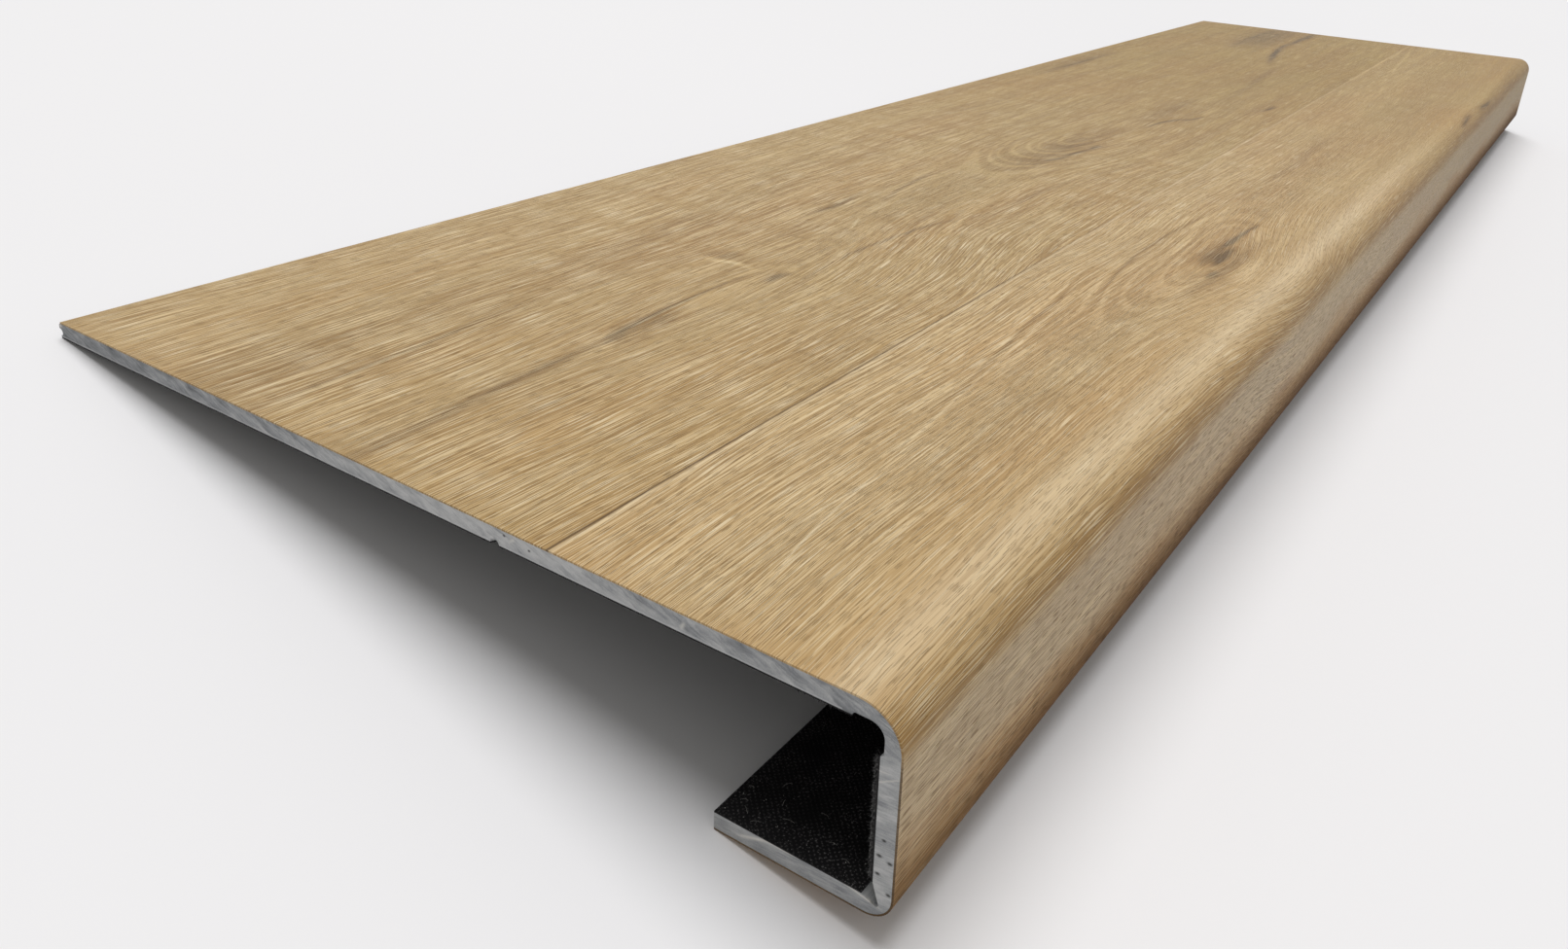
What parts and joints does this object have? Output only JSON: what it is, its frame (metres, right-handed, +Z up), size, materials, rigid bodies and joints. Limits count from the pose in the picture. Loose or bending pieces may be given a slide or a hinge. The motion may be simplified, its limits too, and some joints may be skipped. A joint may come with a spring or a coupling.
{
  "type": "stair tread",
  "caption": "Hooked stair tread cover folded from one oak-decor vinyl board: flat tread, rounded nose, fascia and return lip.",
  "frame": {"origin": "on the floor, at the middle of the cover's outline in length and depth", "axes": "+X along the tread, from the near sawn end to the far end; +Y from the nose to the rear edge; +Z up, with the cover tipped back as it lies unheld"},
  "size_m": [1.165, 0.3104, 0.0609],
  "materials": {
    "oak_decor": "printed oak film under a matt embossed wear layer",
    "vinyl_core": "sawn grey stone-filled vinyl",
    "backing": "black dotted backing"
  },
  "bodies": {
    "root": {"oak_decor_layer": "oak_decor", "vinyl_core": "vinyl_core", "backing_under_tread": "backing", "backing_behind_nose": "backing", "backing_on_lip": "backing"}
  },
  "joints": []
}
